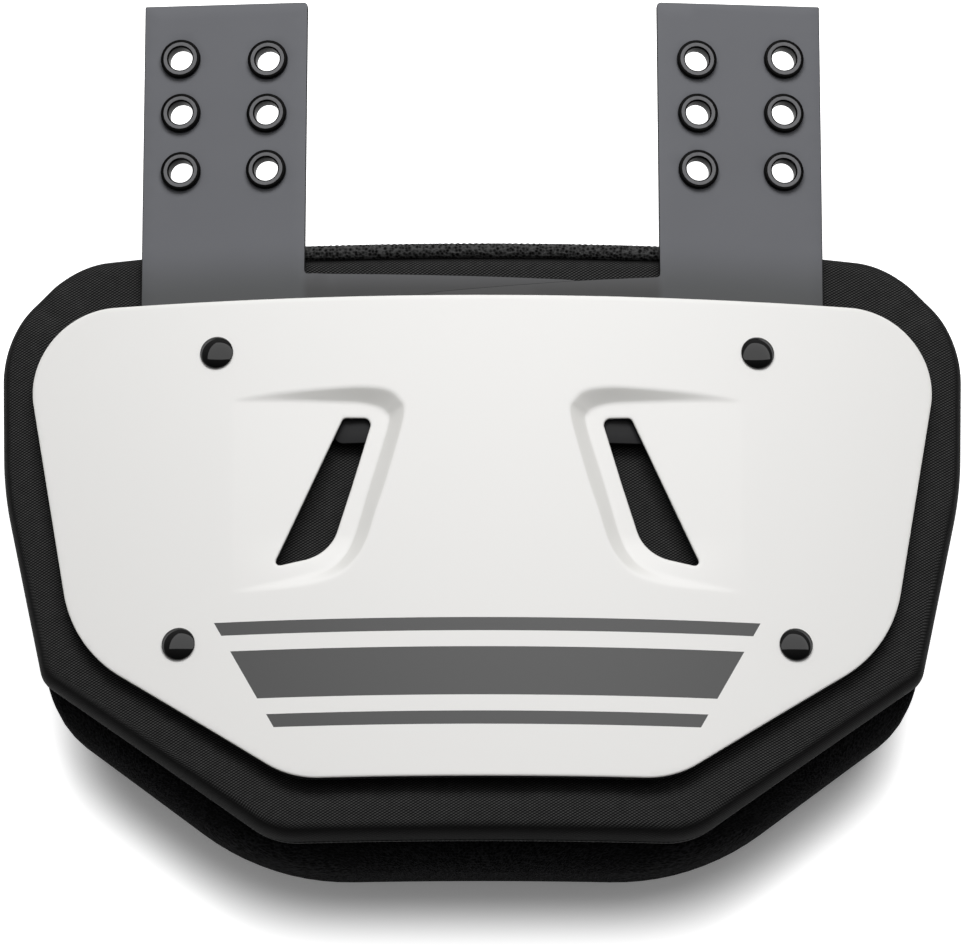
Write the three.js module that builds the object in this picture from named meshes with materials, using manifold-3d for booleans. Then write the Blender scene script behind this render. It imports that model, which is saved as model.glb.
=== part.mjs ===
// Padded back plate for football shoulder pads, lying on its back with the plate up.
// Units are mm, +Z is up (out of the plate), +Y runs to the strap tabs, +X is to the right.
//
// Every shape is laid out flat as (x, y, h) and then bent round one arch:
// x is the arc length from the middle, y runs along the arch, h is the height above the plate's face.

import * as THREE from "three";
import { mergeVertices } from "three/addons/utils/BufferGeometryUtils.js";
import Module from "manifold-3d";

const wasm = await Module();
wasm.setup();

// Driving dimensions

const archRadius = 600;        // the arch that the whole pad is bent to, at the plate's face
const gap = 0.3;               // clearance between neighbouring pieces

const plateHalfWidth = 151.6;  // to the point where the plate's side and top edge would meet
const plateTop = 61.9, plateBottom = -99.7;
const plateThickness = 3.0;
const detailShift = 1.6;       // vents and rivets sit this far to the right of the outline's middle
const scoopWide = 58.0, scoopTall = 69.0;   // the dished recess round a vent slot
const scoopDepth = 3.2;        // its deepest point
const scoopWall = 1.4;         // wall of the pan that the recess leaves on the back
const bossRadius = 7.5;        // stand-off round each rivet hole

const strapThickness = 2.0;
const strapTop = -5.0;         // face of the straps behind the plate
const strapDrop = strapThickness + gap;   // the left strap lies this much deeper where the straps cross
const tabInner = 57.25, tabOuter = 111.5;  // x of the tab's two edges
const tabTop = 165.6;          // y of the tab's end
const tabFoot = 64;            // y where the tab starts to rise
const tabSlope = 0.07;         // rise of the tab per mm of y
const tabFlare = 1.1;          // the tab is this much wider on each side at its foot
const baseTop = 73.2, baseBottom = 14.9;  // y of the strap's base, behind the plate
const crossing = 48;           // how far each strap's base reaches past the middle
const tabOuterRound = 0.5, tabInnerRound = 1.5;   // corners of the tab's end
const footRound = 6, baseRound = 3, bendRound = 1; // corners of the base

const grommetRadius = 6.5, grommetBore = 3.9, barrelRadius = 4.5;
const frontFlange = 1.5, backFlange = 0.85;
const rivetHeadRadius = 5.35, rivetHeadHeight = 2.6, shankRadius = 2.4, rivetFlange = 3.8;
const shankEnd = -12.2;        // h where a rivet ends inside the front cushion

const sideMargin = 8.6;        // how far the cushion stands out past the plate at the sides
const topMargin = 20.7;        // the same at the top
const frontMargin = 17.3;      // the same at the bottom, for the front cushion
const backMargin = 24.3;       // and for the back cushion
const marginCrest = -5.0;      // top of the cushion's rolled margin at the sides and the bottom
const seamLevel = -15.0;       // where the front and the back cushion meet
const padBack = -43.0;         // back of the pad

const pipingRadius = 0.7;
const rollRadius = 1.9;
const rollTail = 1.5;          // its underside hangs this much lower, as a share of the radius
const rollTuck = 8.9;          // how far the knitted roll runs in under each tab

// Heights and places that follow from these

const plateCentreY = plateBottom + 0.505 * (plateTop - plateBottom);
const dishMiddle = strapTop - strapDrop - strapThickness - 0.5;  // cushion under the crossing
const dishSide = strapTop - strapThickness - 1;                  // cushion beside it
const topCrest = dishSide;                                       // cushion's top edge
const padHalfWidth = plateHalfWidth + sideMargin, padTop = plateTop + topMargin;

// Corners of the outlines, right half only, from the top middle round to the bottom middle.
// out is a share of the half width and up a share of the way from the bottom to the top; round is
// the corner's radius as a share of the half width. A corner is rounded in so many steps, and split
// divides the straight after it.

const plateCorners = [
  { out: 1.000, up: 1.000, round: 0.178, steps: 6, split: 3 },
  { out: 0.867, up: 0.289, round: 0.290, steps: 4, split: 2 },
  { out: 0.399, up: 0.000, round: 0.204, steps: 4, split: 4 },
];
const plateTopSplit = 7;

const frontCorners = [
  { out: 0.387, up: 0.984, round: 0.075, steps: 1, split: 2 },
  { out: 0.687, up: 1.000, round: 0.187, steps: 1, split: 1 },
  { out: 0.844, up: 0.996, round: 0.181, steps: 3, split: 1 },
  { out: 1.000, up: 0.878, round: 0.250, steps: 3, split: 2 },
  { out: 0.990, up: 0.609, round: 0.749, steps: 2, split: 2 },
  { out: 0.900, up: 0.284, round: 0.050, steps: 2, split: 2 },
  { out: 0.421, up: 0.000, round: 0.162, steps: 2, split: 4 },
];
const padTopSplit = 4;

// The back cushion's table has the same steps and splits, so the two outlines can be blended.
const backCorners = [
  { out: 0.387, up: 0.988, round: 0.075, steps: 1, split: 2 },
  { out: 0.687, up: 1.002, round: 0.187, steps: 1, split: 1 },
  { out: 0.846, up: 0.998, round: 0.181, steps: 3, split: 1 },
  { out: 1.002, up: 0.884, round: 0.250, steps: 3, split: 2 },
  { out: 1.002, up: 0.622, round: 0.749, steps: 2, split: 2 },
  { out: 0.885, up: 0.256, round: 0.132, steps: 2, split: 2 },
  { out: 0.448, up: 0.000, round: 0.528, steps: 2, split: 4 },
];

// Corners of the straps' bases from the tab's inner edge to the far end and back. reach is a share
// of the crossing toward the other side, up a share of the base's height.
const leftBase = [
  { reach: -0.288, up: 0.961, r: bendRound },
  { reach: 0.610, up: 0.937, r: bendRound },
  { reach: 1.000, up: 0.877, r: baseRound },
  { reach: 1.000, up: 0.000, r: baseRound },
];
const rightBase = [
  { reach: -0.608, up: 0.923, r: bendRound },
  { reach: 0.285, up: 0.859, r: bendRound },
  { reach: 1.000, up: 0.774, r: baseRound },
  { reach: 1.000, up: -0.027, r: baseRound },
];
const leftInnerFoot = 1.0, rightInnerFoot = 0.959;  // up of the inner corner between tab and base

// The left vent; the right one is its mirror image. in is a share of scoopWide from the scoop's
// outer tip toward the middle, up a share of scoopTall from its lower tip, and round the corner's
// radius as a share of scoopTall. ventOut and ventUp place that lower outer tip on the plate.
const ventOut = 0.542, ventUp = 0.383;

const slotCorners = [
  { in: 0.620, up: 0.853, round: 0.022 },
  { in: 0.782, up: 0.852, round: 0.031 },
  { in: 0.670, up: 0.526, round: 0.870 },
  { in: 0.549, up: 0.185, round: 0.206 },
  { in: 0.239, up: 0.126, round: 0.019 },
];

// The scoop's rim on the plate's face, the foot of its wall, and how deep the foot lies as a share
// of scoopDepth. The floor falls from the outer side to the wall beside the slot.
const scoopRings = [
  { rimIn: 0.004, rimUp: 0.949, footIn: 0.019, footUp: 0.942, depth: 0.03 },
  { rimIn: 0.271, rimUp: 0.981, footIn: 0.266, footUp: 0.936, depth: 0.28 },
  { rimIn: 0.604, rimUp: 1.000, footIn: 0.600, footUp: 0.924, depth: 0.72 },
  { rimIn: 0.759, rimUp: 1.001, footIn: 0.723, footUp: 0.917, depth: 0.86 },
  { rimIn: 0.882, rimUp: 0.984, footIn: 0.800, footUp: 0.900, depth: 0.94 },
  { rimIn: 0.947, rimUp: 0.933, footIn: 0.845, footUp: 0.872, depth: 0.98 },
  { rimIn: 0.969, rimUp: 0.852, footIn: 0.859, footUp: 0.823, depth: 0.99 },
  { rimIn: 0.873, rimUp: 0.532, footIn: 0.761, footUp: 0.548, depth: 0.90 },
  { rimIn: 0.816, rimUp: 0.387, footIn: 0.716, footUp: 0.401, depth: 0.86 },
  { rimIn: 0.764, rimUp: 0.240, footIn: 0.664, footUp: 0.256, depth: 0.78 },
  { rimIn: 0.704, rimUp: 0.145, footIn: 0.618, footUp: 0.178, depth: 0.59 },
  { rimIn: 0.606, rimUp: 0.069, footIn: 0.525, footUp: 0.113, depth: 0.37 },
  { rimIn: 0.392, rimUp: 0.020, footIn: 0.332, footUp: 0.069, depth: 0.18 },
  { rimIn: 0.004, rimUp: 0.001, footIn: 0.032, footUp: 0.017, depth: 0.03 },
];

// Rivets on the left; each has a mirror image. The upper one goes through a strap, halfway between
// the tab's edges, and sits at a share of the base's height. The lower one follows the plate.
const upperRivet = { across: 0.551, up: 0.499 };
const lowerRivet = { out: 0.649, up: 0.283 };

// Eyelets: across is a share of the tab's width from its inner edge, up a share of its length
// from its foot.
const grommetPlaces = [
  { name: "outer_low", across: 0.757, up: 0.436 },
  { name: "outer_mid", across: 0.757, up: 0.631 },
  { name: "outer_high", across: 0.757, up: 0.813 },
  { name: "inner_low", across: 0.239, up: 0.428 },
  { name: "inner_mid", across: 0.235, up: 0.616 },
  { name: "inner_high", across: 0.228, up: 0.795 },
];

const finish = {
  plate: { color: 0xe4e3e0, roughness: 0.42, metalness: 0.0 },
  strap: { color: 0x67676b, roughness: 0.6, metalness: 0.0 },
  grommet: { color: 0x57575a, roughness: 0.4, metalness: 0.35 },
  rivet: { color: 0x121112, roughness: 0.22, metalness: 0.0 },
  woven: { color: 0x232323, roughness: 0.9, metalness: 0.0 },
  mesh: { color: 0x0d0d0f, roughness: 0.95, metalness: 0.0 },
  piping: { color: 0x3a3a3a, roughness: 0.8, metalness: 0.0 },
};

// Helpers

const lerp = (a, b, t) => a + (b - a) * t;
const smooth = (a, b, v) => {
  const t = Math.min(1, Math.max(0, (v - a) / (b - a)));
  return t * t * (3 - 2 * t);
};

// Turns a table of shares into corners in mm.
function spread(table, halfWidth, bottom, top) {
  return table.map((row) => ({
    ...row, x: row.out * halfWidth, y: lerp(bottom, top, row.up), r: row.round * halfWidth,
  }));
}

function bend([x, y, h]) {
  const angle = x / archRadius;
  return [(archRadius + h) * Math.sin(angle), y, (archRadius + h) * Math.cos(angle) - archRadius];
}

// Rounds the corners of a closed polygon and divides its straights. A corner without its own
// steps or split takes the ones given, so two like tables give outlines that blend point by point.
function roundedOutline(corners, cornerSteps = 3, edgeSplit = 1) {
  const count = corners.length;
  const rounded = corners.map((corner, i) => {
    const before = corners[(i + count - 1) % count], after = corners[(i + 1) % count];
    const toBefore = new THREE.Vector2(before.x - corner.x, before.y - corner.y);
    const toAfter = new THREE.Vector2(after.x - corner.x, after.y - corner.y);
    const limit = 0.48 * Math.min(toBefore.length(), toAfter.length());
    toBefore.normalize();
    toAfter.normalize();
    const half = Math.acos(Math.min(1, Math.max(-1, toBefore.dot(toAfter)))) / 2;
    const reach = Math.min(corner.r / Math.tan(half), limit);
    const radius = reach * Math.tan(half);
    const centreWay = toBefore.clone().add(toAfter).normalize();
    const centre = new THREE.Vector2(corner.x, corner.y)
      .addScaledVector(centreWay, radius / Math.sin(half));
    const start = new THREE.Vector2(corner.x, corner.y).addScaledVector(toBefore, reach);
    const end = new THREE.Vector2(corner.x, corner.y).addScaledVector(toAfter, reach);
    const startAngle = Math.atan2(start.y - centre.y, start.x - centre.x);
    let turn = Math.atan2(end.y - centre.y, end.x - centre.x) - startAngle;
    while (turn > Math.PI) turn -= 2 * Math.PI;
    while (turn < -Math.PI) turn += 2 * Math.PI;
    const arc = [], steps = corner.steps ?? cornerSteps;
    for (let k = 0; k <= steps; k++) {
      const angle = startAngle + (turn * k) / steps;
      arc.push([centre.x + radius * Math.cos(angle), centre.y + radius * Math.sin(angle)]);
    }
    return arc;
  });
  const points = [];
  rounded.forEach((arc, i) => {
    points.push(...arc);
    const from = arc[arc.length - 1], to = rounded[(i + 1) % count][0];
    const split = corners[i].split ?? edgeSplit;
    for (let k = 1; k < split; k++) {
      points.push([lerp(from[0], to[0], k / split), lerp(from[1], to[1], k / split)]);
    }
  });
  return points;
}

// A whole outline from its right half, clockwise from the top seen from above. In the left half
// each straight's split moves to the corner that comes before it there.
function wholeOutline(rightHalf, topSplit) {
  const leftHalf = rightHalf.map((corner, i) => ({
    ...corner, x: -corner.x, split: i > 0 ? rightHalf[i - 1].split : topSplit,
  })).reverse();
  return roundedOutline([...rightHalf, ...leftHalf]);
}

function outwardNormals(points) {
  const count = points.length;
  let area = 0;
  points.forEach(([x, y], i) => {
    const [nx, ny] = points[(i + 1) % count];
    area += x * ny - nx * y;
  });
  const side = Math.sign(area);
  return points.map((point, i) => {
    const before = points[(i + count - 1) % count], after = points[(i + 1) % count];
    const dx = after[0] - before[0], dy = after[1] - before[1];
    const length = Math.hypot(dx, dy) || 1;
    return [(side * dy) / length, (-side * dx) / length];
  });
}

// Moves an outline inward by "inset" along its own normals.
function insetOutline(points, inset) {
  const normals = outwardNormals(points);
  return points.map(([x, y], i) => [x - normals[i][0] * inset, y - normals[i][1] * inset]);
}

// Shrinks an outline toward a centre, for the rings that close a face.
function shrinkOutline(points, share, centreY) {
  return points.map(([x, y]) => [x * share, centreY + (y - centreY) * share]);
}

function solidFrom(vertices, triangles) {
  const geometry = new THREE.BufferGeometry();
  geometry.setAttribute("position", new THREE.Float32BufferAttribute(vertices.flat(), 3));
  geometry.setIndex(triangles.flat());
  return geometry;
}

// Skins a stack of rings of (x, y, h) points, closes both ends with a middle point and bends it all.
function ringLoft(rings, firstMiddle, lastMiddle) {
  const count = rings[0].length;
  const vertices = rings.flat().map(bend);
  const triangles = [];
  for (let r = 0; r + 1 < rings.length; r++) {
    for (let i = 0; i < count; i++) {
      const a = r * count + i, b = r * count + ((i + 1) % count);
      triangles.push([a, b, b + count], [a, b + count, a + count]);
    }
  }
  const first = vertices.push(bend(firstMiddle)) - 1;
  const last = vertices.push(bend(lastMiddle)) - 1;
  const top = (rings.length - 1) * count;
  for (let i = 0; i < count; i++) {
    const next = (i + 1) % count;
    triangles.push([first, next, i], [last, top + i, top + next]);
  }
  return facingOut(solidFrom(vertices, triangles));
}

function signedVolume(geometry) {
  const p = geometry.getAttribute("position"), index = geometry.getIndex();
  const a = new THREE.Vector3(), b = new THREE.Vector3(), c = new THREE.Vector3();
  let volume = 0;
  for (let i = 0; i < index.count; i += 3) {
    a.fromBufferAttribute(p, index.getX(i));
    b.fromBufferAttribute(p, index.getX(i + 1));
    c.fromBufferAttribute(p, index.getX(i + 2));
    volume += a.dot(b.cross(c)) / 6;
  }
  return volume;
}

function facingOut(geometry) {
  if (signedVolume(geometry) < 0) {
    const index = geometry.getIndex();
    for (let i = 0; i < index.count; i += 3) {
      const b = index.getX(i + 1);
      index.setX(i + 1, index.getX(i + 2));
      index.setX(i + 2, b);
    }
  }
  return geometry;
}

function toManifold(geometry) {
  const plain = geometry.clone();
  plain.deleteAttribute("normal");
  plain.deleteAttribute("uv");
  const merged = mergeVertices(plain, 1e-5);
  return new wasm.Manifold(new wasm.Mesh({
    numProp: 3,
    vertProperties: new Float32Array(merged.getAttribute("position").array),
    triVerts: new Uint32Array(merged.getIndex().array),
  }));
}

function toGeometry(solid) {
  const mesh = solid.getMesh();
  const geometry = new THREE.BufferGeometry();
  geometry.setAttribute("position", new THREE.Float32BufferAttribute(mesh.vertProperties, 3));
  geometry.setIndex(new THREE.Uint32BufferAttribute(mesh.triVerts, 1));
  return geometry;
}

// Turns a lathe profile of (radius, height) pairs into a solid whose axis is Z.
function lathe(profile, segments) {
  const points = profile.map(([r, z]) => new THREE.Vector2(r, z));
  const geometry = new THREE.LatheGeometry(points, segments);
  geometry.deleteAttribute("uv");
  geometry.deleteAttribute("normal");
  geometry.rotateX(Math.PI / 2);
  return facingOut(mergeVertices(geometry, 1e-4));
}

// A closed profile gives a ring, an open one that starts and ends at radius 0 gives a button.
const ringProfile = (profile) => [...profile, profile[0]];

// Puts a solid made about the Z axis onto the arch, its axis square to the surface there.
function placeOnArch(geometry, x, y, h, rise = 0) {
  const spot = new THREE.Matrix4().makeTranslation(...bend([x, y, h]));
  const turn = new THREE.Matrix4().makeRotationY(x / archRadius);
  const tilt = new THREE.Matrix4().makeRotationX(rise);
  return geometry.clone().applyMatrix4(spot.multiply(turn).multiply(tilt));
}

// The outline extruded between two heights and bent; used to cut straight through a sheet.
function cutter(points, low, high) {
  const middleX = points.reduce((sum, p) => sum + p[0], 0) / points.length;
  const middleY = points.reduce((sum, p) => sum + p[1], 0) / points.length;
  const ring = (h) => points.map(([x, y]) => [x, y, h]);
  return ringLoft([ring(low), ring(high)], [middleX, middleY, low], [middleX, middleY, high]);
}

const mirrorX = (points, middle = 0) => points.map(([x, ...rest]) => [2 * middle - x, ...rest]);

// Outlines of the plate and the two cushions, in mm

const plateShape = spread(plateCorners, plateHalfWidth, plateBottom, plateTop);
const frontShape = spread(frontCorners, padHalfWidth, plateBottom - frontMargin, padTop);
const backShape = spread(backCorners, padHalfWidth, plateBottom - backMargin, padTop);

// Plate

const plateRow = (up) => lerp(plateBottom, plateTop, up);
const ventX = (share) => -ventOut * plateHalfWidth + share * scoopWide;
const ventY = (share) => plateRow(ventUp) + share * scoopTall;

// The left rivets, as x from the middle of the details.
const rivetPlaces = [
  {
    name: "upper", x: -lerp(tabInner, tabOuter, upperRivet.across),
    y: lerp(baseBottom, baseTop, upperRivet.up), strap: true,
  },
  { name: "lower", x: -lowerRivet.out * plateHalfWidth, y: plateRow(lowerRivet.up), strap: false },
];

function buildPlate() {
  const outline = wholeOutline(plateShape, plateTopSplit);
  const at = (points, h) => points.map(([x, y]) => [x, y, h]);
  const edge = [
    { inset: 0.9, h: 0.0 },
    { inset: 0.1, h: -0.7 },
    { inset: 0.2, h: -2.3 },
    { inset: 0.9, h: -plateThickness },
  ];
  const shares = [0.25, 0.5, 0.75];
  const rings = [];
  for (const share of shares) rings.push(at(shrinkOutline(outline, share, plateCentreY), 0));
  for (const step of edge) rings.push(at(insetOutline(outline, step.inset), step.h));
  for (const share of [...shares].reverse()) {
    rings.push(at(shrinkOutline(outline, share, plateCentreY), -plateThickness));
  }
  let plate = toManifold(ringLoft(rings, [0, plateCentreY, 0], [0, plateCentreY, -plateThickness]));

  const rim = scoopRings.map((p) => [ventX(p.rimIn), ventY(p.rimUp)]);
  const foot = scoopRings.map((p) => [ventX(p.footIn), ventY(p.footUp)]);
  const depths = scoopRings.map((p) => p.depth * scoopDepth);
  const grown = insetOutline(rim, -scoopWall * 0.8);
  const above = rim.map(([x, y], i) => {
    const out = [x - foot[i][0], y - foot[i][1]];
    return [x + out[0] * 0.5, y + out[1] * 0.5, Math.max(0.15, depths[i] * 0.5)];
  });
  const panMiddle = [ventX(0.62), ventY(0.52)];
  const tool = [above, foot.map(([x, y], i) => [x, y, -depths[i]])];
  const pan = [
    grown.map(([x, y]) => [x, y, -plateThickness + 0.6]),
    insetOutline(foot, -scoopWall * 0.6).map(([x, y], i) => [
      x, y, Math.min(-plateThickness + 0.3, -depths[i] - scoopWall),
    ]),
  ];
  const toolMiddle = [[...panMiddle, 1.5], [...panMiddle, -0.85 * scoopDepth]];
  const panEnds = [
    [...panMiddle, -plateThickness + 0.6],
    [...panMiddle, -0.85 * scoopDepth - scoopWall],
  ];
  const slot = roundedOutline(
    slotCorners.map((corner) => ({
      x: ventX(corner.in), y: ventY(corner.up), r: corner.round * scoopTall,
    })), 4, 2,
  );

  for (const flip of [false, true]) {
    const move = (points) => (flip ? mirrorX(points) : points).map(([x, ...r]) => [x + detailShift, ...r]);
    const loft = (rings, ends) => toManifold(
      ringLoft(rings.map(move), ...ends.map((p) => move([p])[0])),
    );
    plate = plate.add(loft(pan, panEnds));
    for (const spot of rivetPlaces) {
      const boss = lathe([
        [0, strapTop + gap], [bossRadius, strapTop + gap], [bossRadius + 1, -plateThickness + 0.5],
        [0, -plateThickness + 0.5],
      ], 12);
      const [x] = move([[spot.x, 0]])[0];
      plate = plate.add(toManifold(placeOnArch(boss, x, spot.y, 0)));
    }
    plate = plate.subtract(loft(tool, toolMiddle));
    plate = plate.subtract(toManifold(cutter(move(slot), -8, 2)));
    for (const spot of rivetPlaces) {
      const hole = lathe([[0, -8], [shankRadius + gap, -8], [shankRadius + gap, 3], [0, 3]], 12);
      const [x] = move([[spot.x, 0]])[0];
      plate = plate.subtract(toManifold(placeOnArch(hole, x, spot.y, 0)));
    }
  }
  return toGeometry(plate);
}

// Straps

const tabRise = (y) => Math.max(0, y - tabFoot) * tabSlope;

// The grid's columns just outside the tab's edges, and its last row just past the tab's end.
// Between those columns the tab is flat.
const innerColumn = tabInner - tabFlare, outerColumn = tabOuter + 2 * tabFlare;
const tabEnd = tabTop + 2 * tabFlare;

// A strap's outline: the tab's two edges and end, then its base. Laid out for the right strap,
// whose base runs to the left.
function strapOutline(base, innerFoot) {
  const baseY = (up) => lerp(baseBottom, baseTop, up);
  const corner = (x, y, r) => ({ x, y, r });
  return [
    corner(tabOuter - tabFlare, tabTop, tabOuterRound),
    corner(tabOuter + tabFlare, baseY(base[base.length - 1].up), footRound),
    ...[...base].reverse().map((row) => corner(-row.reach * crossing, baseY(row.up), row.r)),
    corner(tabInner + tabFlare / 2, baseY(innerFoot), bendRound),
    corner(tabInner - tabFlare / 2, tabTop - 1.4 * tabFlare, tabInnerRound),
  ];
}

// A sheet on a grid of columns and rows, bent, cut to its outline and drilled. The left strap
// steps down beside its tab, so that the right one lies over it.
function buildStrap(side) {
  const corners = side < 0
    ? strapOutline(leftBase, leftInnerFoot) : strapOutline(rightBase, rightInnerFoot);
  const drop = side < 0 ? strapDrop : 0;
  const stepStart = -innerColumn, stepEnd = -(crossing + gap) - 0.1 * (innerColumn - crossing);
  const low = (x) => drop * smooth(stepStart, stepEnd, -side * x);
  const half = crossing / 2;
  const inner = side < 0 ? [-stepEnd, half, 0, -half] : [1.5 * half, 0.7 * half, -0.15 * half, -half];
  const columns = [outerColumn, innerColumn, ...inner, -crossing - 2].map((x) => side * x);
  if (side > 0) columns.reverse();
  const rows = [baseBottom - 7, tabFoot, tabEnd];
  const point = (x, y, below) => bend([x, y, strapTop - low(x) + tabRise(y) - below]);
  const vertices = [];
  for (const below of [0, strapThickness]) {
    for (const y of rows) for (const x of columns) vertices.push(point(x, y, below));
  }
  const wide = columns.length, sheet = wide * rows.length, triangles = [];
  const quad = (a, b, c, d) => triangles.push([a, b, c], [a, c, d]);
  for (let r = 0; r + 1 < rows.length; r++) {
    for (let c = 0; c + 1 < wide; c++) {
      const a = r * wide + c;
      quad(a, a + 1, a + 1 + wide, a + wide);
      quad(sheet + a, sheet + a + wide, sheet + a + 1 + wide, sheet + a + 1);
    }
  }
  const border = [];
  for (let c = 0; c + 1 < wide; c++) border.push(c);
  for (let r = 0; r + 1 < rows.length; r++) border.push(r * wide + wide - 1);
  for (let c = wide - 1; c > 0; c--) border.push((rows.length - 1) * wide + c);
  for (let r = rows.length - 1; r > 0; r--) border.push(r * wide);
  border.forEach((a, i) => {
    const b = border[(i + 1) % border.length];
    quad(a, sheet + a, sheet + b, b);
  });
  let strap = toManifold(facingOut(solidFrom(vertices, triangles)));
  const shape = roundedOutline(corners, 3, 1);
  strap = strap.intersect(toManifold(sheetCutter(side < 0 ? mirrorX(shape) : shape)));
  const reach = strapThickness * 3;
  for (const spot of grommetPlaces) {
    const radius = barrelRadius + gap;
    const hole = lathe([[0, -reach], [radius, -reach], [radius, reach], [0, reach]], 14);
    strap = strap.subtract(toManifold(placeOnTab(hole, side, spot)));
  }
  for (const spot of rivetPlaces.filter((place) => place.strap)) {
    const radius = shankRadius + gap;
    const hole = lathe([[0, shankEnd], [radius, shankEnd], [radius, 1], [0, 1]], 12);
    strap = strap.subtract(toManifold(placeOnArch(hole, -side * spot.x + detailShift, spot.y, 0)));
  }
  return toGeometry(strap);
}

// The outline pushed straight up and down in Z; it may be concave, so its ends are triangulated.
function sheetCutter(points) {
  const shape = new THREE.Shape(points.map(([x, y]) => {
    const [X] = bend([x, y, strapTop]);
    return new THREE.Vector2(X, y);
  }));
  const reach = tabTop / 2;
  const geometry = new THREE.ExtrudeGeometry(shape, { depth: reach, bevelEnabled: false });
  geometry.translate(0, 0, -0.6 * reach);
  geometry.deleteAttribute("uv");
  geometry.deleteAttribute("normal");
  return facingOut(mergeVertices(geometry, 1e-4));
}

// Puts a solid made about the Z axis onto a tab; its origin goes to the middle of the sheet.
function placeOnTab(geometry, side, spot) {
  const corner = (x, y) => new THREE.Vector3(...bend([
    side * x, y, strapTop - strapThickness / 2 + tabRise(y),
  ]));
  const spotAcross = lerp(tabInner, tabOuter, spot.across), spotY = lerp(tabFoot, tabTop, spot.up);
  const inner = corner(innerColumn, tabFoot), outer = corner(outerColumn, tabFoot);
  const high = corner(innerColumn, tabEnd);
  const across = outer.clone().sub(inner), along = high.clone().sub(inner);
  const normal = across.clone().cross(along).normalize();
  if (normal.z < 0) normal.negate();
  const spotX = bend([side * spotAcross, spotY, strapTop + tabRise(spotY)])[0];
  const flat = new THREE.Plane().setFromNormalAndCoplanarPoint(normal, inner);
  const z = -(flat.normal.x * spotX + flat.normal.y * spotY + flat.constant) / flat.normal.z;
  const turn = new THREE.Quaternion().setFromUnitVectors(new THREE.Vector3(0, 0, 1), normal);
  const place = new THREE.Matrix4().compose(
    new THREE.Vector3(spotX, spotY, z), turn, new THREE.Vector3(1, 1, 1),
  );
  return geometry.clone().applyMatrix4(place);
}

function buildGrommet() {
  const seat = strapThickness / 2 + gap, face = seat + frontFlange, back = -seat - backFlange;
  return lathe(ringProfile([
    [grommetBore, back],
    [grommetBore, face - 0.55],
    [grommetBore + 0.7, face],
    [grommetRadius - 0.35, face],
    [grommetRadius, seat],
    [barrelRadius, seat],
    [barrelRadius, -seat],
    [grommetRadius, -seat],
    [grommetRadius - 0.35, back],
  ]), 14);
}

function buildRivet() {
  const seat = gap, foot = shankEnd;
  return lathe([
    [0, foot], [rivetFlange, foot], [rivetFlange, foot + 1.2], [shankRadius, foot + 1.2],
    [shankRadius, seat], [rivetHeadRadius, seat], [rivetHeadRadius * 0.86, seat + rivetHeadHeight * 0.5],
    [rivetHeadRadius * 0.5, seat + rivetHeadHeight * 0.86], [0, seat + rivetHeadHeight],
  ], 12);
}

// Cushions

// Height of the cushion's face under the plate: lowest where the straps cross.
const dish = (x) => lerp(dishMiddle, dishSide, smooth(0.95 * crossing, 1.55 * crossing, Math.abs(x)));

// Height of the rolled margin, by the way that the outline faces there.
function crest(x, normalY) {
  const along = smooth(0.5, 0.95, normalY);
  return lerp(marginCrest, Math.min(topCrest, dish(x)), along);
}

function buildFrontCushion() {
  const outline = wholeOutline(frontShape, padTopSplit), normals = outwardNormals(outline);
  const faceTop = outline.map(([x], i) => crest(x, normals[i][1]));
  const ring = (inset, share, down) => insetOutline(outline, inset).map(([x, y], i) => [
    x, y, lerp(seamLevel, faceTop[i], share) - down,
  ]);
  const dishRing = (share) => shrinkOutline(outline, share, plateCentreY)
    .map(([x, y]) => [x, y, dish(x)]);
  const rings = [
    shrinkOutline(outline, 0.5, plateCentreY).map(([x, y]) => [x, y, seamLevel]),
    insetOutline(outline, 1.9).map(([x, y]) => [x, y, seamLevel]),
    ring(0.1, 0.18, 0), ring(0.0, 0.34, 0), ring(0.9, 0.74, 0), ring(2.6, 0.95, 0), ring(5.5, 1, 0),
    ring(11, 1, 0.2), dishRing(0.83), dishRing(0.62), dishRing(0.32),
  ];
  let cushion = toManifold(ringLoft(
    rings, [0, plateCentreY, seamLevel], [0, plateCentreY, dishMiddle],
  ));
  for (const side of [-1, 1]) {
    for (const spot of rivetPlaces) {
      const pocket = lathe([
        [0, shankEnd - gap], [rivetFlange + gap, shankEnd - gap], [rivetFlange + gap, 0], [0, 0],
      ], 12);
      const x = -side * spot.x + detailShift;
      cushion = cushion.subtract(toManifold(placeOnArch(pocket, x, spot.y, 0)));
    }
  }
  return toGeometry(cushion);
}

function buildBackCushion() {
  const front = wholeOutline(frontShape, padTopSplit), back = wholeOutline(backShape, padTopSplit);
  const blend = (share, inset, h) => {
    const near = insetOutline(front, inset), far = insetOutline(back, inset);
    return near.map(([x, y], i) => [lerp(x, far[i][0], share), lerp(y, far[i][1], share), h]);
  };
  const top = seamLevel - gap;
  const rings = [
    shrinkOutline(front, 0.5, plateCentreY).map(([x, y]) => [x, y, top]),
    blend(0, 1.9, top), blend(0.2, 0.1, top - 1.6), blend(0.75, 0, top - 5.5), blend(1, 0, top - 11),
    blend(1, 0, padBack + 8.5), blend(1, 2.2, padBack + 3.2), blend(1, 7, padBack),
    shrinkOutline(back, 0.66, plateCentreY).map(([x, y]) => [x, y, padBack]),
    shrinkOutline(back, 0.33, plateCentreY).map(([x, y]) => [x, y, padBack]),
  ];
  return ringLoft(rings, [0, plateCentreY, top], [0, plateCentreY, padBack]);
}

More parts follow.
